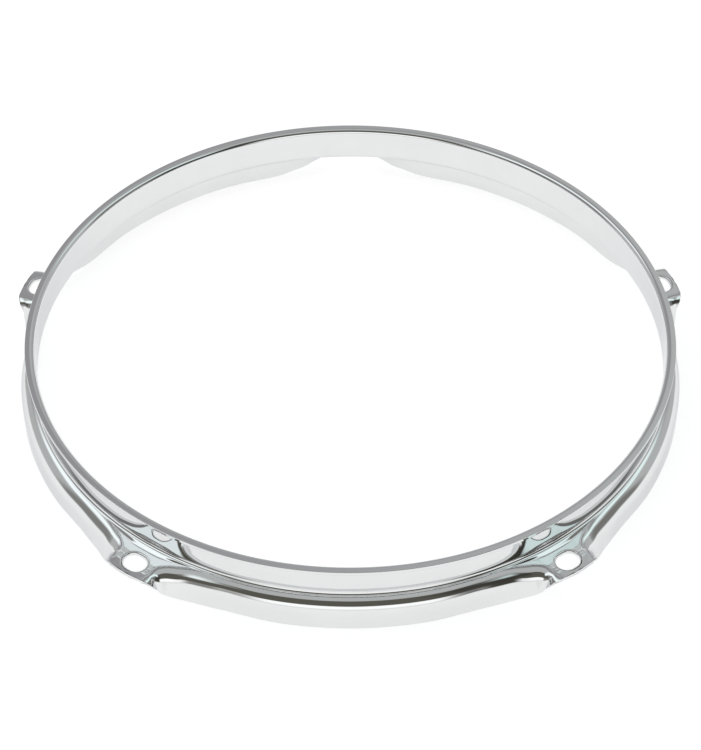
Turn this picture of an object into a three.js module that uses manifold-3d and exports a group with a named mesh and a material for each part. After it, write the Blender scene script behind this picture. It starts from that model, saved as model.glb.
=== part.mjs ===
// A pressed steel drum hoop: one strip, rolled to a ring, closed by a butt weld and chromed.
// Its section runs from an outward lip at the top, down a straight wall, out over a shoulder,
// round a fold and down a skirt. At each tension rod the fold swings out and the skirt fades away,
// which leaves a level ear with an oblong hole.
// Units are millimetres. +Z points to the lip, and the origin is on the ring's axis at mid height.
import * as THREE from 'three';
import Module from 'manifold-3d';
import { mergeVertices } from 'three/addons/utils/BufferGeometryUtils.js';

const wasm = await Module();
wasm.setup();

// The ring
const sheet = 1.6;
const boreRadius = 130.4;
const hoopHeight = 28.4;
const plainSteps = 6;

// The lip
const lipWidth = 4.1;
const lipBendInside = 0.7;
const lipBendSteps = 2;

// The shoulder, from the wall to the fold
const shoulderDepth = 15.1;
const shoulderWidth = 0.2;
const shoulderSlope = THREE.MathUtils.degToRad(17);
const footBendInside = 1.5;
const footBendSteps = 2;

// The fold and the skirt
const foldBendInside = 4.9;
const foldSteps = 4;
const skirtLean = THREE.MathUtils.degToRad(1);

// The ears. The half width is that of the ear's skirt at its tip.
const earCount = 5;
const firstEarAngle = THREE.MathUtils.degToRad(90);
const earDrop = 1;
const earRamp = 2.6;
const earProjection = 10;
const earHalfWidth = 12.5;

// The ears' holes
const holeFromEdge = 6.5;
const holeLength = 9.7;
const holeWidth = 8;
const holeRimDepth = 0.6;
const holeRimWidth = 1.2;
const holeEndSteps = 10;

// The weld
const weldWidth = 2.4;

// How far a cutter passes the face that it cuts
const cutOverrun = 2;

// How far to each side of a station its neighbours are taken, as a share of a step
const nudgeShare = 0.01;

// Heights
const lipTop = hoopHeight / 2;
const skirtBottom = -hoopHeight / 2;
const shoulderTop = lipTop - shoulderDepth;
const earTop = shoulderTop - earDrop;

// Radii, and the heights on the shoulder's slope. The shoulder runs straight from the foot's end to
// the fold line, and the fold's reach is how far beyond that line it would meet the skirt.
const wallOutside = boreRadius + sheet;
const lipRadius = boreRadius + lipWidth;
const footCentre = wallOutside + footBendInside;
const footEnd = footCentre - footBendInside * Math.sin(shoulderSlope);
const footHeight = shoulderTop + footBendInside * (1 - Math.cos(shoulderSlope));
const foldLine = footEnd + shoulderWidth;
const foldHeight = footHeight - shoulderWidth * Math.tan(shoulderSlope);
const foldTurn = Math.PI / 2 - skirtLean - shoulderSlope;
const foldReach = (foldBendInside + sheet) * Math.tan(foldTurn / 2);
const cornerRadius = foldLine + foldReach * Math.cos(shoulderSlope);
const cornerHeight = foldHeight - foldReach * Math.sin(shoulderSlope);
const skirtRadius = cornerRadius + (cornerHeight - skirtBottom) * Math.tan(skirtLean);
const holeCircle = skirtRadius + earProjection - holeFromEdge;

// Half an ear, from its middle to the plain skirt, with one row a station. The columns are shares:
// how far across the wall's foot, the fold line and the free edge lie, of the ear's half width;
// how far out the fold line and the free edge lie, of the ear's projection;
// how far up the plate lies, from the ear to the shoulder;
// how far down the free edge lies, from the ear to the skirt's bottom;
// and how far the fold reaches, of its reach at the plain skirt.
const earShares = [
  [0.00, 0.00, 0.00, 1.33, 1.00, 0.00, 0.00, 0.12],
  [0.20, 0.26, 0.34, 1.31, 0.99, 0.00, 0.00, 0.13],
  [0.34, 0.42, 0.58, 1.25, 0.97, 0.00, 0.00, 0.18],
  [0.44, 0.55, 0.71, 1.17, 0.94, 0.00, 0.04, 0.27],
  [0.47, 0.575, 0.84, 1.10, 0.87, 0.00, 0.13, 0.42],
  [0.50, 0.58, 0.94, 1.015, 0.78, 0.00, 0.27, 0.575],
  [0.535, 0.582, 0.985, 0.924, 0.69, 0.00, 0.40, 0.65],
  [0.575, 0.592, 1.015, 0.804, 0.64, 0.00, 0.50, 0.72],
  [0.625, 0.612, 1.05, 0.664, 0.63, 0.00, 0.56, 0.78],
  [0.695, 0.665, 1.09, 0.500, 0.61, 0.00, 0.62, 0.84],
  [0.83, 0.805, 1.14, 0.320, 0.57, 0.04, 0.68, 0.87],
  [1.02, 1.00, 1.25, 0.175, 0.51, 0.14, 0.74, 0.89],
  [1.29, 1.27, 1.45, 0.085, 0.41, 0.40, 0.80, 0.91],
  [1.57, 1.56, 1.67, 0.034, 0.29, 0.72, 0.87, 0.92],
  [1.98, 1.98, 2.05, 0.008, 0.17, 0.94, 0.92, 0.96],
  [2.38, 2.38, 2.44, 0.00, 0.06, 1.00, 0.98, 1.00],
  [2.75, 2.75, 2.75, 0.00, 0.00, 1.00, 1.00, 1.00],
];

const up = new THREE.Vector3(0, 0, 1);
const lerp = THREE.MathUtils.lerp;

function polar(radius, angle, height) {
  return new THREE.Vector3(radius * Math.cos(angle), radius * Math.sin(angle), height);
}

// Four points fix the strip's outer face at a station: the end of the wall's foot, the fold line,
// the corner that the fold rounds, and the free edge. The shoulder's slope fades out on the ears.
function station(foot, fold, edge, reach, down, plateUp) {
  const slope = Math.tan(shoulderSlope * plateUp);
  const outward = edge.clone().sub(fold).setZ(0).normalize().addScaledVector(up, -slope).normalize();
  return { foot, fold, edge, down, slope, corner: fold.clone().addScaledVector(outward, reach) };
}

function earStation(row, side, earAngle) {
  const [footAcross, foldAcross, edgeAcross, foldOut, edgeOut, plateUp, edgeDown, reach] = row;
  const place = (acrossShare, radius, height) => {
    const turn = side * Math.asin(acrossShare * earHalfWidth / radius);
    return polar(radius, earAngle + turn, height);
  };
  return station(
    place(footAcross, footEnd, footHeight),
    place(foldAcross, foldLine + foldOut * earProjection, lerp(earTop, foldHeight, plateUp)),
    place(edgeAcross, skirtRadius + edgeOut * earProjection, lerp(earTop, skirtBottom, edgeDown)),
    reach * foldReach,
    edgeDown,
    plateUp,
  );
}

function plainStation(angle) {
  return station(
    polar(footEnd, angle, footHeight),
    polar(foldLine, angle, foldHeight),
    polar(skirtRadius, angle, skirtBottom),
    foldReach,
    1,
    1,
  );
}

// All the stations round the ring: each ear from side to side, then the plain strip after it
function ringStations() {
  const stations = [];
  const sector = 2 * Math.PI / earCount;
  const last = earShares[earShares.length - 1];
  const earEnd = Math.asin(last[1] * earHalfWidth / foldLine);
  for (let ear = 0; ear < earCount; ear++) {
    const earAngle = firstEarAngle + ear * sector;
    for (const row of earShares.slice(1).reverse()) stations.push(earStation(row, -1, earAngle));
    for (const row of earShares) stations.push(earStation(row, 1, earAngle));
    for (let i = 1; i < plainSteps; i++) {
      stations.push(plainStation(earAngle + lerp(earEnd, sector - earEnd, i / plainSteps)));
    }
  }
  return stations;
}

const stations = ringStations();
const rail = (name) => new THREE.CatmullRomCurve3(stations.map((s) => s[name]), true);
const rails = { foot: rail('foot'), fold: rail('fold'), corner: rail('corner'), edge: rail('edge') };

// A point on the arc that rounds a corner, with the arc's direction there
function roundedCorner(start, corner, end, t) {
  const weight = start.distanceTo(end) / (2 * start.distanceTo(corner));
  const blend = (a, b, aWeight, bWeight) => a.clone().multiplyScalar(aWeight)
    .addScaledVector(b, bWeight).divideScalar(aWeight + bWeight);
  const first = blend(start, corner, 1 - t, t * weight);
  const second = blend(corner, end, (1 - t) * weight, t);
  const firstWeight = (1 - t) * (1 - t + t * weight);
  const secondWeight = t * ((1 - t) * weight + t);
  return {
    point: blend(first, second, firstWeight, secondWeight),
    direction: second.sub(first).normalize(),
  };
}

// The fold and the skirt on the outer face, at a place round the ring from 0 to 1
function skirtProfile(place) {
  const fold = rails.fold.getPoint(place);
  const corner = rails.corner.getPoint(place);
  const edge = rails.edge.getPoint(place);
  const direction = edge.clone().sub(corner).normalize();
  const foldEnd = corner.clone().addScaledVector(direction, fold.distanceTo(corner));
  const profile = [];
  for (let i = 0; i <= foldSteps; i++) {
    profile.push(roundedCorner(fold, corner, foldEnd, i / foldSteps));
  }
  profile.push({ point: edge, direction });
  return profile;
}

// Points on a bend in the section plane, from one angle about its centre to another
function bendPoints(centreRadius, centreHeight, bendRadius, fromAngle, toAngle, steps) {
  const points = [];
  for (let i = 0; i <= steps; i++) {
    const angle = lerp(fromAngle, toAngle, i / steps);
    points.push([centreRadius + bendRadius * Math.cos(angle),
      centreHeight + bendRadius * Math.sin(angle)]);
  }
  return points;
}

// The lip, the wall and the wall's foot as radius and height, on a face this deep in the sheet
function ringSection(depth) {
  const wall = wallOutside - depth;
  const lipBend = lipBendInside + depth;
  const lipFace = lipTop - sheet + depth;
  const footBend = footBendInside + depth;
  return [
    [lipRadius, lipFace],
    ...bendPoints(wall + lipBend, lipFace - lipBend, lipBend, Math.PI / 2, Math.PI, lipBendSteps),
    ...bendPoints(footCentre, shoulderTop + footBendInside, footBend, Math.PI,
      3 * Math.PI / 2 - shoulderSlope, footBendSteps),
  ];
}

const outerRing = ringSection(0);
const innerRing = ringSection(sheet);

// The closed outline of the strip at a station: down the outer face and back up the inner face
function sectionLoop(index) {
  const { foot, fold, down, slope } = stations[index];
  const place = index / stations.length;
  const nudge = nudgeShare / stations.length;
  const profile = skirtProfile(place);
  const before = skirtProfile(place - nudge);
  const after = skirtProfile(place + nudge);
  const level = fold.clone().sub(foot).setZ(0);
  const width = level.length();
  const ramp = width * earRamp / (earRamp + width);
  const rampEnd = foot.clone().addScaledVector(level, ramp / width)
    .setZ(fold.z + (width - ramp) * slope);
  const rampFacing = level.normalize().multiplyScalar(slope).add(up).normalize();
  const outer = [rampEnd, ...profile.map(({ point }) => point)];
  const inner = [rampEnd.clone().addScaledVector(rampFacing, -sheet)];
  profile.forEach(({ point, direction }, i) => {
    const along = after[i].point.clone().sub(before[i].point);
    const normal = direction.clone().cross(along).normalize();
    inner.push(point.clone().addScaledVector(normal, -sheet));
  });
  const innerEdge = inner[inner.length - 1];
  innerEdge.z = lerp(innerEdge.z, outer[outer.length - 1].z, down);
  const angle = Math.atan2(foot.y, foot.x);
  const ring = (section) => section.map(([radius, height]) => polar(radius, angle, height));
  return [...ring(outerRing), ...outer, ...inner.reverse(), ...ring(innerRing).reverse()];
}

// The whole ring's skin, from the outlines at all its stations
function ringGeometry() {
  const loops = stations.map((_, index) => sectionLoop(index));
  const size = loops[0].length;
  const index = [];
  for (let i = 0; i < loops.length; i++) {
    const here = i * size;
    const next = ((i + 1) % loops.length) * size;
    for (let j = 0; j < size; j++) {
      const k = (j + 1) % size;
      index.push(here + j, here + k, next + k, here + j, next + k, next + j);
    }
  }
  const geometry = new THREE.BufferGeometry().setFromPoints(loops.flat());
  geometry.setIndex(index);
  return geometry;
}

// A closed solid from a closed geometry
function solidOf(geometry) {
  geometry.deleteAttribute('normal');
  geometry.deleteAttribute('uv');
  const merged = mergeVertices(geometry);
  return new wasm.Manifold(new wasm.Mesh({
    numProp: 3,
    vertProperties: new Float32Array(merged.attributes.position.array),
    triVerts: new Uint32Array(merged.index.array),
  }));
}

function obround(length, width) {
  const shape = new THREE.Shape();
  const end = (length - width) / 2;
  shape.absarc(0, end, width / 2, 0, Math.PI);
  shape.absarc(0, -end, width / 2, Math.PI, 2 * Math.PI);
  return shape;
}

// What an ear's hole takes away: a straight way through, and the rounded rim round its top
function holeCutters(earAngle) {
  const outline = obround(holeLength, holeWidth);
  const through = new THREE.ExtrudeGeometry(outline, {
    depth: sheet + 2 * cutOverrun, bevelEnabled: false, curveSegments: holeEndSteps,
  });
  through.translate(0, 0, -sheet - cutOverrun);
  const rim = new THREE.ExtrudeGeometry(outline, {
    depth: cutOverrun, bevelThickness: holeRimDepth, bevelSize: holeRimWidth, bevelSegments: 1,
    curveSegments: holeEndSteps,
  });
  return [through, rim].map((geometry) => {
    geometry.translate(holeCircle, 0, earTop);
    geometry.rotateZ(earAngle);
    return solidOf(geometry);
  });
}

// A slab across the strip, half way between two ears
function weldSlab() {
  const inside = boreRadius - cutOverrun;
  const outside = skirtRadius + cutOverrun;
  const slab = new THREE.BoxGeometry(outside - inside, weldWidth, hoopHeight + 2 * cutOverrun);
  slab.translate((inside + outside) / 2, 0, 0);
  slab.rotateZ(firstEarAngle + Math.PI / earCount);
  return solidOf(slab);
}

function chromeMesh(name, solid) {
  const { vertProperties, triVerts } = solid.getMesh();
  const geometry = new THREE.BufferGeometry();
  geometry.setAttribute('position', new THREE.BufferAttribute(vertProperties, 3));
  geometry.setIndex(new THREE.BufferAttribute(triVerts, 1));
  geometry.computeVertexNormals();
  const chrome = new THREE.MeshStandardMaterial({ color: 0xd9dcdd, metalness: 1, roughness: 0.05 });
  const mesh = new THREE.Mesh(geometry, chrome);
  mesh.name = name;
  return mesh;
}

let ring = solidOf(ringGeometry());
for (let ear = 0; ear < earCount; ear++) {
  for (const cutter of holeCutters(firstEarAngle + ear * 2 * Math.PI / earCount)) {
    ring = ring.subtract(cutter);
  }
}

const hoop = new THREE.Group();
hoop.add(chromeMesh('hoop_strip', ring.subtract(weldSlab())));
hoop.add(chromeMesh('butt_weld', ring.intersect(weldSlab())));

export default hoop;
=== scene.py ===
# A pressed steel drum hoop in chrome: the strip's fine surface, its weld, a pale floor and soft
# studio light.
# Lengths are in millimetres until a mesh is made, and angles are in degrees where a name says so.
import math

import bpy
import numpy as np
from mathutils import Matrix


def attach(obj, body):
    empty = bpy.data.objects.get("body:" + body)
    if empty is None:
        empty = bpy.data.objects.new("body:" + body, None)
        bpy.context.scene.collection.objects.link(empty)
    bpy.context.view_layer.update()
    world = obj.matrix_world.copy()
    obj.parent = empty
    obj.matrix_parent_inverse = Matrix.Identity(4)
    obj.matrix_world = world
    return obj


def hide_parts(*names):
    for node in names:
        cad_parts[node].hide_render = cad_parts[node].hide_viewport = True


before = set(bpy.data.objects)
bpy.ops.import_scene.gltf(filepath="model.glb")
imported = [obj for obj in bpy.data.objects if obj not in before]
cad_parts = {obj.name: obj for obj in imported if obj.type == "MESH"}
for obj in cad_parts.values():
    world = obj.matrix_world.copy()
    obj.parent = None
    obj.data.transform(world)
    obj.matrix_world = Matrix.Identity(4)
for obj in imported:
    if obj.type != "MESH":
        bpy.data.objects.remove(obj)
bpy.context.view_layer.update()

METRES = 0.001

# The ring
sheet = 1.6
bore_radius = 130.4
hoop_height = 28.4
plain_steps = 6

# The lip
lip_width = 4.1
lip_bend_inside = 0.7

# The shoulder
shoulder_depth = 15.1
shoulder_width = 0.2
shoulder_slope = math.radians(17)
foot_bend_inside = 1.5

# The fold and the skirt
fold_bend_inside = 4.9
skirt_lean = math.radians(1)

# The ears
ear_count = 5
first_ear_angle = math.radians(90)
ear_drop = 1.0
ear_ramp = 2.6
ear_projection = 10
ear_half_width = 12.5

# The ears' holes
hole_from_edge = 6.5
hole_length = 9.7
hole_width = 8
rim_width = 1.2
rim_depth = 0.6
hole_burr = 0.25

# The sheet's cut edges are a little rounded
cut_round = 0.35

# The weld, and the fine groove on each side of it
weld_width = 2.4
groove_depth = 0.05
groove_width = 0.18

# How fine the surface is made, and how far apart two places are whose difference gives a direction
along_step = 0.8
plain_along_step = 3
direction_step = 0.04
bend_steps = 10
round_steps = 4
plate_steps = 10
skirt_steps = 5
patch_rings = 3

# Heights
lip_top = hoop_height / 2
skirt_bottom = -hoop_height / 2
shoulder_top = lip_top - shoulder_depth
ear_top = shoulder_top - ear_drop

# Radii
wall_outside = bore_radius + sheet
lip_radius = bore_radius + lip_width
foot_centre = wall_outside + foot_bend_inside
foot_end = foot_centre - foot_bend_inside * math.sin(shoulder_slope)
foot_height = shoulder_top + foot_bend_inside * (1 - math.cos(shoulder_slope))
fold_line = foot_end + shoulder_width
fold_height = foot_height - shoulder_width * math.tan(shoulder_slope)
fold_reach = (fold_bend_inside + sheet) * math.tan((math.pi / 2 - skirt_lean - shoulder_slope) / 2)
corner_height = fold_height - fold_reach * math.sin(shoulder_slope)
skirt_radius = (fold_line + fold_reach * math.cos(shoulder_slope)
                + (corner_height - skirt_bottom) * math.tan(skirt_lean))
hole_circle = skirt_radius + ear_projection - hole_from_edge

# Half an ear, from its middle to the plain skirt, with one row a station. The columns are shares:
# how far across the wall's foot, the fold line and the free edge lie, of the ear's half width;
# how far out the fold line and the free edge lie, of the ear's projection;
# how far up the plate lies, from the ear to the shoulder;
# how far down the free edge lies, from the ear to the skirt's bottom;
# and how far the fold reaches, of its reach at the plain skirt.
ear_shares = np.array([
    [0.00, 0.00, 0.00, 1.33, 1.00, 0.00, 0.00, 0.12],
    [0.20, 0.26, 0.34, 1.31, 0.99, 0.00, 0.00, 0.13],
    [0.34, 0.42, 0.58, 1.25, 0.97, 0.00, 0.00, 0.18],
    [0.44, 0.55, 0.71, 1.17, 0.94, 0.00, 0.04, 0.27],
    [0.47, 0.575, 0.84, 1.10, 0.87, 0.00, 0.13, 0.42],
    [0.50, 0.58, 0.94, 1.015, 0.78, 0.00, 0.27, 0.575],
    [0.535, 0.582, 0.985, 0.924, 0.69, 0.00, 0.40, 0.65],
    [0.575, 0.592, 1.015, 0.804, 0.64, 0.00, 0.50, 0.72],
    [0.625, 0.612, 1.05, 0.664, 0.63, 0.00, 0.56, 0.78],
    [0.695, 0.665, 1.09, 0.500, 0.61, 0.00, 0.62, 0.84],
    [0.83, 0.805, 1.14, 0.320, 0.57, 0.04, 0.68, 0.87],
    [1.02, 1.00, 1.25, 0.175, 0.51, 0.14, 0.74, 0.89],
    [1.29, 1.27, 1.45, 0.085, 0.41, 0.40, 0.80, 0.91],
    [1.57, 1.56, 1.67, 0.034, 0.29, 0.72, 0.87, 0.92],
    [1.98, 1.98, 2.05, 0.008, 0.17, 0.94, 0.92, 0.96],
    [2.38, 2.38, 2.44, 0.00, 0.06, 1.00, 0.98, 1.00],
    [2.75, 2.75, 2.75, 0.00, 0.00, 1.00, 1.00, 1.00],
])
# The row up to which the plate round the hole is remade with the hole in it
patch_row = 3


def polar(radius, angle, height):
    radius, angle, height = np.broadcast_arrays(radius, angle, height)
    return np.stack([radius * np.cos(angle), radius * np.sin(angle), height], axis=-1)


def unit(vectors):
    return vectors / np.linalg.norm(vectors, axis=-1, keepdims=True)


def mix(start, end, share):
    return start + (end - start) * share


# The rails: the wall's foot, the fold line and the free edge at every station, with two shares
def ear_station(row, side, ear_angle):
    foot_across, fold_across, edge_across, fold_out, edge_out, plate_up, edge_down, reach = row

    def place(across_share, radius, height):
        turn = side * math.asin(across_share * ear_half_width / radius)
        return polar(radius, ear_angle + turn, height)

    foot = place(foot_across, foot_end, foot_height)
    fold = place(fold_across, fold_line + fold_out * ear_projection, mix(ear_top, fold_height, plate_up))
    edge = place(edge_across, skirt_radius + edge_out * ear_projection, mix(ear_top, skirt_bottom, edge_down))
    return np.concatenate([foot, fold, edge, [reach * fold_reach, edge_down, plate_up]])


def plain_station(angle):
    foot = polar(foot_end, angle, foot_height)
    fold = polar(fold_line, angle, fold_height)
    edge = polar(skirt_radius, angle, skirt_bottom)
    return np.concatenate([foot, fold, edge, [fold_reach, 1.0, 1.0]])


def ring_stations():
    stations = []
    sector = 2 * math.pi / ear_count
    ear_end = math.asin(ear_shares[-1][1] * ear_half_width / fold_line)
    for ear in range(ear_count):
        ear_angle = first_ear_angle + ear * sector
        for row in ear_shares[:0:-1]:
            stations.append(ear_station(row, -1, ear_angle))
        for row in ear_shares:
            stations.append(ear_station(row, 1, ear_angle))
        for i in range(1, plain_steps):
            stations.append(plain_station(ear_angle + mix(ear_end, sector - ear_end, i / plain_steps)))
    return np.array(stations)


stations = ring_stations()
station_count = len(stations)
sector_stations = station_count // ear_count
gaps = np.roll(stations, -1, axis=0) - stations
station_gaps = sum(np.linalg.norm(gaps[:, i:i + 3], axis=1) for i in (0, 3, 6)) / 3
station_places = np.concatenate([[0], np.cumsum(station_gaps)])
ring_length = station_places[-1]


def closed_spline_bends(places, values, period):
    """The second derivatives of the smooth closed curve through the values"""
    count = len(values)
    after = np.diff(np.append(places, places[0] + period))
    before = np.roll(after, 1)
    matrix = np.zeros((count, count))
    here = np.arange(count)
    matrix[here, here - 1] += before
    matrix[here, here] += 2 * (before + after)
    matrix[here, (here + 1) % count] += after
    rise = (np.roll(values, -1, axis=0) - values) / after[:, None]
    return np.linalg.solve(matrix, 6 * (rise - np.roll(rise, 1, axis=0)))


station_bends = closed_spline_bends(station_places[:-1], stations, ring_length)


def rails_at(places):
    """All the rails' values at places round the ring, in millimetres from the first station"""
    wrapped = np.mod(places, ring_length)
    k = np.clip(np.searchsorted(station_places, wrapped, side="right") - 1, 0, station_count - 1)
    n = (k + 1) % station_count
    gap = station_gaps[k][:, None]
    gone = (wrapped - station_places[k])[:, None]
    left = gap - gone
    bends = (station_bends[k] * left ** 3 + station_bends[n] * gone ** 3) / (6 * gap)
    from_here = (stations[k] / gap - station_bends[k] * gap / 6) * left
    from_next = (stations[n] / gap - station_bends[n] * gap / 6) * gone
    values = bends + from_here + from_next
    values[:, 8] = np.maximum(values[:, 8], skirt_bottom)
    values[:, 10:12] = np.clip(values[:, 10:12], 0, 1)
    return values


def rounded_corner(start, corner, end, share):
    """A point on the arc that rounds a corner, with the arc's direction there"""
    across = np.linalg.norm(end - start, axis=-1, keepdims=True)
    weight = across / (2 * np.linalg.norm(corner - start, axis=-1, keepdims=True))
    first = ((1 - share) * start + share * weight * corner) / (1 - share + share * weight)
    second = ((1 - share) * weight * corner + share * end) / ((1 - share) * weight + share)
    first_weight = (1 - share) * (1 - share + share * weight)
    second_weight = share * ((1 - share) * weight + share)
    point = (first_weight * first + second_weight * second) / (first_weight + second_weight)
    return point, unit(second - first)


def outer_face(places):
    """The outer face from the wall's foot to the free edge: points, directions and the foot's angle"""
    values = rails_at(places)
    rail_foot, fold, edge = values[:, 0:3], values[:, 3:6], values[:, 6:9]
    angle = np.arctan2(rail_foot[:, 1], rail_foot[:, 0])
    foot = polar(foot_end, angle, foot_height)
    slope = np.tan(shoulder_slope * values[:, 11:12])
    outward = unit((edge - fold) * [1, 1, 0])
    corner = fold + unit(outward - slope * [0, 0, 1]) * values[:, 9:10]
    level = (fold - foot) * [1, 1, 0]
    width = np.linalg.norm(level, axis=1, keepdims=True)
    ramp = width * ear_ramp / (ear_ramp + width)
    ramp_drop = foot_height - fold[:, 2:3] - (width - ramp) * slope
    points, directions = [], []
    for share in np.linspace(0, 1, bend_steps + 1)[1:]:
        first_pull = share * (1 - share) ** 2 * ramp * math.tan(shoulder_slope)
        last_pull = -share ** 2 * (1 - share) * ramp * slope
        drop = ramp_drop * share ** 2 * (3 - 2 * share) + first_pull + last_pull
        fall = (ramp_drop * 6 * share * (1 - share)
                + (1 - share) * (1 - 3 * share) * ramp * math.tan(shoulder_slope)
                - (2 * share - 3 * share ** 2) * ramp * slope)
        points.append(foot + level * (ramp / width) * share - drop * [0, 0, 1])
        directions.append(unit(level * (ramp / width) - fall * [0, 0, 1]))
    for share in np.linspace(0, 1, plate_steps + 1)[1:-1]:
        along_plate = mix(ramp, width, share)
        height = fold[:, 2:3] + (width - along_plate) * slope
        flat = foot * [1, 1, 0] + level * (along_plate / width)
        points.append(flat + height * [0, 0, 1])
        directions.append(unit(level / width - slope * [0, 0, 1]))
    down = unit(edge - corner)
    fold_end = corner + down * np.linalg.norm(corner - fold, axis=1, keepdims=True)
    for share in np.linspace(0, 1, bend_steps + 1):
        point, direction = rounded_corner(fold, corner, fold_end, share)
        points.append(point)
        directions.append(direction)
    for share in np.linspace(0, 1, skirt_steps + 1)[1:]:
        points.append(mix(fold_end, edge, share))
        directions.append(down)
    return np.stack(points, 1), np.stack(directions, 1), angle, values[:, 10]


def rounded_edge(edge, before, after, normal_before, normal_after):
    """Rows that round an edge, between a row before it and one after it"""
    points, normals = [], []
    start = edge + before * cut_round
    end = edge + after * cut_round
    for share in np.linspace(0, 1, round_steps + 1):
        point, _ = rounded_corner(start, edge, end, share)
        points.append(point)
        normals.append(unit(mix(normal_before, normal_after, share)))
    return points, normals


def bend_rows(centre_radius, centre_height, radius, start_angle, end_angle, facing):
    """A bend of the ring's section as radius and height, with its normals"""
    rows = []
    for angle in np.linspace(start_angle, end_angle, bend_steps + 1):
        out, rise = math.cos(angle), math.sin(angle)
        point = (centre_radius + radius * out, centre_height + radius * rise)
        rows.append((point, (facing * out, facing * rise)))
    return rows


def revolved(rows, angle):
    points = [polar(radius, angle, height) for (radius, height), _ in rows]
    normals = [polar(out, angle, rise) for _, (out, rise) in rows]
    return points, normals


def section_loops(places):
    """The strip's closed outline at each place: points and normals"""
    outer, directions, angle, down = outer_face(places)
    along = outer_face(places + direction_step)[0] - outer_face(places - direction_step)[0]
    facing = unit(np.cross(directions, along))
    inner = outer - facing * sheet
    inner[:, -1, 2] = mix(inner[:, -1, 2], outer[:, -1, 2], down)

    bend_centre = wall_outside + lip_bend_inside
    lip_under = lip_top - sheet
    foot_bend_height = shoulder_top + foot_bend_inside
    foot_stop = 1.5 * math.pi - shoulder_slope
    upper_rows = bend_rows(bend_centre, lip_under - lip_bend_inside, lip_bend_inside,
                           math.pi / 2, math.pi, -1)
    upper_rows += bend_rows(foot_centre, foot_bend_height, foot_bend_inside, math.pi, foot_stop, -1)
    under_rows = bend_rows(foot_centre, foot_bend_height, foot_bend_inside + sheet, foot_stop, math.pi, 1)
    under_rows += bend_rows(bend_centre, lip_under - lip_bend_inside, lip_bend_inside + sheet,
                            math.pi, math.pi / 2, 1)

    points, normals = revolved(upper_rows, angle)
    points += [outer[:, i] for i in range(outer.shape[1] - 1)]
    normals += [facing[:, i] for i in range(outer.shape[1] - 1)]

    into = directions[:, -1]
    through = unit(inner[:, -1] - outer[:, -1])
    edge_facing = unit(into - through * np.sum(into * through, axis=1, keepdims=True))
    for edge, before, after, facing_before, facing_after in (
        (outer[:, -1], -into, through, facing[:, -1], edge_facing),
        (inner[:, -1], -through, -into, edge_facing, -facing[:, -1]),
    ):
        more_points, more_normals = rounded_edge(edge, before, after, facing_before, facing_after)
        points += more_points
        normals += more_normals

    points += [inner[:, i] for i in range(outer.shape[1] - 2, -1, -1)]
    normals += [-facing[:, i] for i in range(outer.shape[1] - 2, -1, -1)]
    more_points, more_normals = revolved(under_rows, angle)
    points += more_points
    normals += more_normals

    radial = polar(1, angle, 0)
    rise = np.broadcast_to([0.0, 0.0, 1.0], radial.shape)
    lip_end = polar(lip_radius, angle, lip_top)
    lip_end_under = polar(lip_radius, angle, lip_under)
    for edge, before, after, facing_before, facing_after in (
        (lip_end, -radial, -rise, rise, radial),
        (lip_end_under, rise, -radial, radial, -rise),
    ):
        more_points, more_normals = rounded_edge(edge, before, after, facing_before, facing_after)
        points += more_points
        normals += more_normals
    return np.stack(points, 1), np.stack(normals, 1)


# Where the plate's rows lie in the loop: from the ramp's end to the fold line
plate_first = 2 * (bend_steps + 1) + bend_steps - 1
plate_last = plate_first + plate_steps
outer_rows = 2 * (bend_steps + 1) + bend_steps + plate_steps - 1 + bend_steps + 1 + skirt_steps - 1
inner_first = outer_rows + 2 * (round_steps + 1)


def inner_row(outer_row):
    """The row of the inner face that lies under a row of the outer face"""
    return inner_first + (outer_rows - 1 - outer_row)


class Shell:
    """Vertices, faces and the normal of every face corner"""

    def __init__(self):
        self.points, self.normals, self.faces, self.flat = [], [], [], []

    def add(self, points, normals):
        first = sum(len(p) for p in self.points)
        self.points.append(np.asarray(points).reshape(-1, 3))
        self.normals.append(np.asarray(normals).reshape(-1, 3))
        return first

    def face(self, corners, flat_normal=None):
        self.faces.append(tuple(int(c) for c in corners))
        self.flat.append(flat_normal)

    def mesh(self, name):
        points = np.concatenate(self.points) * METRES
        normals = np.concatenate(self.normals)
        mesh = bpy.data.meshes.new(name)
        mesh.from_pydata(points.tolist(), [], self.faces)
        mesh.polygons.foreach_set("use_smooth", [True] * len(self.faces))
        corner_normals = []
        for corners, flat_normal in zip(self.faces, self.flat):
            for corner in corners:
                corner_normals.append(normals[corner] if flat_normal is None else flat_normal)
        mesh.normals_split_custom_set([tuple(n) for n in corner_normals])
        return mesh


def obround_point(along, out, radius, half_straight):
    """The point of an obround in a direction from its middle, with the way out there"""
    if abs(out) * half_straight < abs(along) * radius:
        run = half_straight * abs(along)
        run += math.sqrt(max(radius ** 2 - (half_straight * out) ** 2, 0))
        spot = np.array([along * run, out * run])
        way = (spot - [math.copysign(half_straight, along), 0]) / radius
        return spot, way
    run = radius / abs(out)
    return np.array([along * run, out * run]), np.array([0, math.copysign(1, out)])


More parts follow.
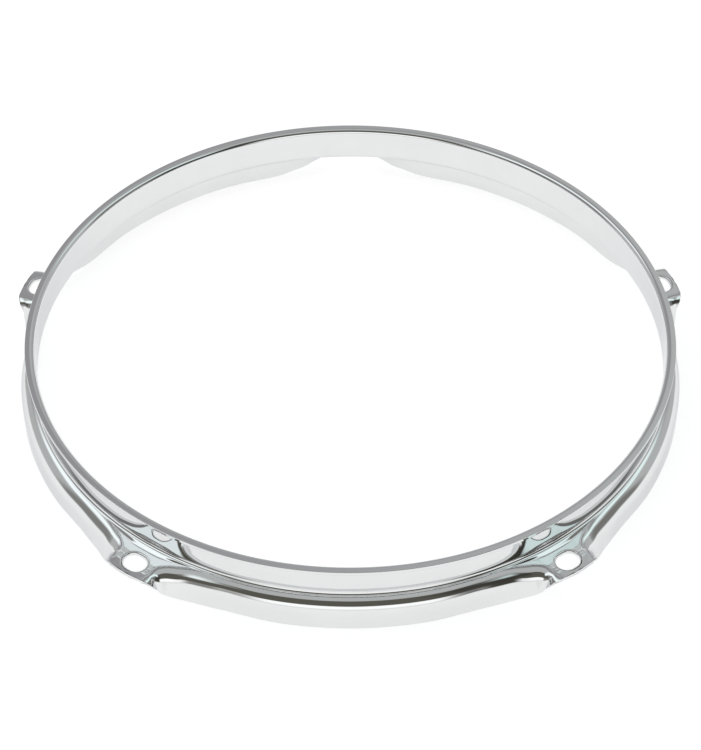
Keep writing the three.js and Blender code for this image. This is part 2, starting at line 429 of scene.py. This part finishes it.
def hole_patch(shell, first, rows, columns, ear_angle):
    """Remakes an ear's plate with its hole, on both faces, and rolls the hole's rim"""
    out = np.array([math.cos(ear_angle), math.sin(ear_angle)])
    across = np.array([-out[1], out[0]])
    centre = out * hole_circle
    half_straight = (hole_length - hole_width) / 2
    start, stop = columns
    border = [(i, plate_first) for i in range(start, stop)]
    border += [(stop, j) for j in range(plate_first, plate_last)]
    border += [(i, plate_last) for i in range(stop, start, -1)]
    border += [(start, j) for j in range(plate_last, plate_first, -1)]
    upper = [first + i * rows + j for i, j in border]
    under = [first + i * rows + inner_row(j) for i, j in border]
    all_points = np.concatenate(shell.points)
    rim_start, ways = [], []
    for index in upper:
        offset = all_points[index][:2] - centre
        ray = offset / np.linalg.norm(offset)
        spot, way = obround_point(ray @ across, ray @ out, hole_width / 2 + rim_width, half_straight)
        rim_start.append(centre + spot[0] * across + spot[1] * out)
        ways.append(way[0] * across + way[1] * out)
    rim_start, ways = np.array(rim_start), np.array(ways)
    wall_line = rim_start - ways * rim_width
    ear_under = ear_top - sheet
    loops = [upper]

    def add_loop(flat_points, height, tilt, facing):
        points = np.column_stack([flat_points, np.full(len(flat_points), height)])
        normals = np.column_stack([-ways * math.sin(tilt),
                                   np.full(len(flat_points), facing * math.cos(tilt))])
        base = shell.add(points, normals)
        loops.append([base + i for i in range(len(flat_points))])

    upper_flat = np.array([all_points[i][:2] for i in upper])
    under_flat = np.array([all_points[i][:2] for i in under])
    for share in np.linspace(0, 1, patch_rings + 1)[1:]:
        add_loop(mix(upper_flat, rim_start, share), ear_top, 0, 1)
    for angle in np.linspace(0, math.pi / 2, bend_steps + 1)[1:]:
        add_loop(rim_start - ways * rim_width * math.sin(angle),
                 ear_top - rim_depth * (1 - math.cos(angle)), angle, 1)
    for angle in np.linspace(math.pi / 2, 0, round_steps + 1):
        add_loop(wall_line + ways * hole_burr * (1 - math.sin(angle)),
                 ear_under + hole_burr * (1 - math.cos(angle)), angle, -1)
    burr_line = wall_line + ways * hole_burr
    for share in np.linspace(0, 1, patch_rings + 1)[1:-1]:
        add_loop(mix(burr_line, under_flat, share), ear_under, 0, -1)
    loops.append(under)
    count = len(border)
    for here, beyond in zip(loops, loops[1:]):
        for i in range(count):
            k = (i + 1) % count
            shell.face((here[i], beyond[i], beyond[k], here[k]))


def strip_shell(start_place, end_place, with_holes):
    """The strip between two places, closed at its ends, with a fine groove there"""
    places = []
    for k in range(station_count * 3):
        lap, index = divmod(k, station_count)
        left = station_places[index] + lap * ring_length
        plain = station_gaps[index] > plain_along_step
        steps = math.ceil(station_gaps[index] / (plain_along_step if plain else along_step))
        places += [left + station_gaps[index] * i / steps for i in range(steps)]
    places = [p for p in places if start_place + groove_width < p < end_place - groove_width]
    ends = [start_place, start_place + groove_width]
    places = np.array(ends + places + [end_place - groove_width, end_place])
    points, normals = section_loops(places)
    for end in (0, -1):
        points[end] -= normals[end] * groove_depth
    shell = Shell()
    columns, rows = points.shape[:2]
    first = shell.add(points, normals)
    patches = []
    if with_holes:
        patch_lengths = station_places[len(ear_shares) - 1 + np.array([-patch_row, patch_row])]
        for lap in range(2):
            for ear in range(ear_count):
                shift = station_places[ear * sector_stations] + lap * ring_length
                low, high = patch_lengths + shift
                if low > start_place and high < end_place:
                    start, stop = (int(np.argmin(abs(places - p))) for p in (low, high))
                    patches.append(((start, stop), first_ear_angle + ear * 2 * math.pi / ear_count))
    holed = np.zeros(columns, bool)
    for (start, stop), _ in patches:
        holed[start:stop] = True
    under_last, under_first = inner_row(plate_first), inner_row(plate_last)
    for i in range(columns - 1):
        for j in range(rows):
            on_plate = plate_first <= j < plate_last or under_first <= j < under_last
            if holed[i] and on_plate:
                continue
            k = (j + 1) % rows
            shell.face((first + i * rows + j, first + i * rows + k,
                        first + (i + 1) * rows + k, first + (i + 1) * rows + j))
    for span, ear_angle in patches:
        hole_patch(shell, first, rows, span, ear_angle)
    for column, sign in ((0, -1), (columns - 1, 1)):
        corners = [first + column * rows + j for j in range(rows)]
        if sign < 0:
            corners.reverse()
        middle = points[column].mean(axis=0)
        way = unit(np.array([-middle[1], middle[0], 0.0])) * sign
        shell.face(corners, way)
    return shell


def piece(name, shell, node, material):
    obj = bpy.data.objects.new(name, shell.mesh(name))
    bpy.context.scene.collection.objects.link(obj)
    obj.data.materials.append(material)
    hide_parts(node)
    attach(obj, "root")
    return obj


# The chrome's finish. Scales are in waves a metre, and heights in millimetres.
smear_scale = 45
smear_detail = 5
smear_gloss_range = (0.35, 0.75)
smear_shade_range = (0.3, 0.7)
smear_shade_share = 0.97
ripple_scale = 90
ripple_height = 0.004
scratch_scale = 2200
fine_detail = 2


# Materials
def new_material(name):
    material = bpy.data.materials.new(name)
    material.use_nodes = True
    nodes = material.node_tree.nodes
    return material, nodes, material.node_tree.links, nodes["Principled BSDF"]


def chrome_material(name, least_roughness, most_roughness, scratch_height):
    material, nodes, links, shader = new_material(name)
    shader.inputs["Metallic"].default_value = 1
    shader.inputs["Specular Tint"].default_value = (*grazing_tint, 1)
    coords = nodes.new("ShaderNodeTexCoord").outputs["Object"]

    def noise(scale, detail):
        node = nodes.new("ShaderNodeTexNoise")
        node.inputs["Scale"].default_value = scale
        node.inputs["Detail"].default_value = detail
        links.new(coords, node.inputs["Vector"])
        return node.outputs["Fac"]

    def bump(pattern, height):
        node = nodes.new("ShaderNodeBump")
        node.inputs["Strength"].default_value = 1
        node.inputs["Distance"].default_value = height * METRES
        links.new(pattern, node.inputs["Height"])
        return node

    smears = noise(smear_scale, smear_detail)
    gloss = nodes.new("ShaderNodeMapRange")
    gloss.inputs["From Min"].default_value = smear_gloss_range[0]
    gloss.inputs["From Max"].default_value = smear_gloss_range[1]
    gloss.inputs["To Min"].default_value = least_roughness
    gloss.inputs["To Max"].default_value = most_roughness
    links.new(smears, gloss.inputs["Value"])
    links.new(gloss.outputs["Result"], shader.inputs["Roughness"])

    shades = nodes.new("ShaderNodeValToRGB")
    for element, place, share in zip(shades.color_ramp.elements, smear_shade_range, (smear_shade_share, 1)):
        element.position = place
        element.color = [c * share for c in chrome_tint] + [1]
    links.new(smears, shades.inputs["Fac"])
    links.new(shades.outputs["Color"], shader.inputs["Base Color"])

    ripple = bump(noise(ripple_scale, fine_detail), ripple_height)
    scratches = bump(noise(scratch_scale, fine_detail), scratch_height)
    links.new(ripple.outputs["Normal"], scratches.inputs["Normal"])
    links.new(scratches.outputs["Normal"], shader.inputs["Normal"])
    return material


chrome_tint = (0.79, 0.80, 0.80)
grazing_tint = (0.80, 0.80, 0.82)
strip_chrome = chrome_material("strip_chrome", 0.03, 0.06, 0.00002)
weld_chrome = chrome_material("weld_chrome", 0.10, 0.22, 0.0002)

# The hoop: the weld is half way between the first two ears
weld_station = 2 * len(ear_shares) - 1 + plain_steps // 2 - 1
weld_place = station_places[weld_station]
weld_start = weld_place - weld_width / 2
weld_end = weld_place + weld_width / 2
piece("chrome_strip", strip_shell(weld_end, weld_start + ring_length, True), "hoop_strip", strip_chrome)
piece("plated_weld", strip_shell(weld_start, weld_end, False), "butt_weld", weld_chrome)

# The studio: a pale floor, and a sky that is grey, dark over the camera and bright in soft patches
floor_size = 12
floor_gap = 0.02
floor_roughness = 0.9
floor_colour = (0.45, 0.45, 0.45)
floor_glow = 0.78


def make_floor():
    half = floor_size / 2
    height = (skirt_bottom - floor_gap) * METRES
    mesh = bpy.data.meshes.new("floor")
    mesh.from_pydata([(-half, -half, height), (half, -half, height), (half, half, height),
                      (-half, half, height)], [], [(0, 1, 2, 3)])
    obj = bpy.data.objects.new("floor", mesh)
    bpy.context.scene.collection.objects.link(obj)
    material, _, _, shader = new_material("floor")
    shader.inputs["Base Color"].default_value = (*floor_colour, 1)
    shader.inputs["Roughness"].default_value = floor_roughness
    shader.inputs["Specular IOR Level"].default_value = 0
    shader.inputs["Emission Color"].default_value = (1, 1, 1, 1)
    shader.inputs["Emission Strength"].default_value = floor_glow
    mesh.materials.append(material)


def aim(azimuth, elevation):
    """The way to a spot in the sky: azimuth 0 is beyond the hoop, 90 on the right"""
    a, e = math.radians(azimuth), math.radians(elevation)
    return (math.sin(a) * math.cos(e), math.cos(a) * math.cos(e), math.sin(e))


class Sky:
    """Builds the world's colour from soft patches laid over one another"""

    def __init__(self):
        world = bpy.data.worlds.new("studio")
        bpy.context.scene.world = world
        world.use_nodes = True
        self.nodes = world.node_tree.nodes
        self.links = world.node_tree.links
        self.way = self.nodes.new("ShaderNodeTexCoord").outputs["Generated"]
        self.colour = None

    def maths(self, operation, *values):
        node = self.nodes.new("ShaderNodeMath")
        node.operation = operation
        for socket, value in zip(node.inputs, values):
            if isinstance(value, (int, float)):
                socket.default_value = value
            else:
                self.links.new(value, socket)
        return node.outputs[0]

    def along(self, vector):
        node = self.nodes.new("ShaderNodeVectorMath")
        node.operation = "DOT_PRODUCT"
        self.links.new(self.way, node.inputs[0])
        node.inputs[1].default_value = vector
        return node.outputs["Value"]

    def fade(self, value, start, end):
        """1 up to start, down smoothly to 0 at end"""
        node = self.nodes.new("ShaderNodeMapRange")
        node.interpolation_type = "SMOOTHSTEP"
        node.inputs["From Min"].default_value = start
        node.inputs["From Max"].default_value = end
        node.inputs["To Min"].default_value = 1
        node.inputs["To Max"].default_value = 0
        self.links.new(value, node.inputs["Value"])
        return node.outputs["Result"]

    def base(self, colour):
        node = self.nodes.new("ShaderNodeRGB")
        node.outputs[0].default_value = (*colour, 1)
        self.colour = node.outputs[0]

    def lay(self, mask, colour):
        node = self.nodes.new("ShaderNodeMix")
        node.data_type = "RGBA"
        self.links.new(mask, node.inputs["Factor"])
        self.links.new(self.colour, node.inputs[6])
        node.inputs[7].default_value = (*colour, 1)
        self.colour = node.outputs[2]

    def patch(self, azimuth, elevation, half_width, half_height, softness, colour):
        """A soft-edged rectangle of light or shade, all in degrees"""
        middle = np.array(aim(azimuth, elevation))
        side = np.array(aim(azimuth + 90, 0))
        top = np.cross(side, middle)
        front = self.along(middle)
        mask = self.maths("GREATER_THAN", front, 0.0)
        for axis, half in ((side, half_width), (top, half_height)):
            share = self.maths("ABSOLUTE", self.maths("DIVIDE", self.along(axis), front))
            inner = math.tan(math.radians(max(half - softness, 0)))
            outer = math.tan(math.radians(half + softness))
            mask = self.maths("MULTIPLY", mask, self.fade(share, inner, outer))
        self.lay(mask, colour)

    def finish(self):
        background = self.nodes["Background"]
        self.links.new(self.colour, background.inputs["Color"])
        background.inputs["Strength"].default_value = 1


# The sky's colour, and the patches laid over it in turn: azimuth, elevation, half width,
# half height and softness in degrees, and the colour. The horizon comes before the last of them.
sky_colour = (0.52, 0.53, 0.53)
sky_patches = [
    (0, 40, 40, 24, 6, (0.40, 0.40, 0.41)),
    (-26, 42, 14, 22, 8, (0.34, 0.33, 0.35)),
    (20, 40, 12, 12, 8, (0.52, 0.53, 0.53)),
    (0, 76, 50, 5, 3, (0.26, 0.26, 0.26)),
    (180, 16, 70, 14, 3, (0.065, 0.060, 0.050)),
    (-132, 14, 22, 10, 6, (0.28, 0.28, 0.27)),
    (180, 18, 30, 14, 8, (1.25, 1.25, 1.25)),
    (180, 46, 70, 18, 2, (0.115, 0.110, 0.092)),
    (124, 36, 18, 18, 8, (0.052, 0.048, 0.042)),
    (94, 24, 13, 16, 5, (0.22, 0.215, 0.205)),
    (-94, 24, 13, 16, 5, (0.26, 0.255, 0.25)),
    (86, 51, 30, 6, 5, (0.96, 1.12, 1.11)),
    (-86, 51, 32, 8, 5, (1.15, 1.22, 1.24)),
]
horizon_colour = (0.95, 0.95, 0.95)
horizon_rise = (0.04, 0.13)
low_patch = (0, 3, 52, 7, 3, (0.42, 0.42, 0.42))


def make_sky():
    sky = Sky()
    sky.base(sky_colour)
    for patch in sky_patches:
        sky.patch(*patch)
    sky.lay(sky.fade(sky.along((0, 0, 1)), *horizon_rise), horizon_colour)
    sky.patch(*low_patch)
    sky.finish()


lamp_size = 1.6
lamp_energy = 4
lamp_place = (-0.35, 0.1, 1.8)


def make_lamp():
    """Light for the floor that the chrome doesn't mirror"""
    lamp = bpy.data.lights.new("overhead", "AREA")
    lamp.shape = "DISK"
    lamp.size = lamp_size
    lamp.energy = lamp_energy
    obj = bpy.data.objects.new("overhead", lamp)
    bpy.context.scene.collection.objects.link(obj)
    obj.location = lamp_place
    obj.visible_glossy = False
    obj.visible_camera = False


make_floor()
make_sky()
make_lamp()

# The camera at the photograph's viewing angle
camera_lens = 110.94
camera_place = (-1.95, -699.75, 669.34)
camera_turn_degrees = (45.686, 0.068, -0.230)


def make_camera():
    camera = bpy.data.cameras.new("camera")
    camera.lens = camera_lens
    obj = bpy.data.objects.new("camera", camera)
    bpy.context.scene.collection.objects.link(obj)
    obj.location = [c * METRES for c in camera_place]
    obj.rotation_euler = [math.radians(t) for t in camera_turn_degrees]
    bpy.context.scene.camera = obj


make_camera()
bpy.context.scene.view_settings.view_transform = "Standard"
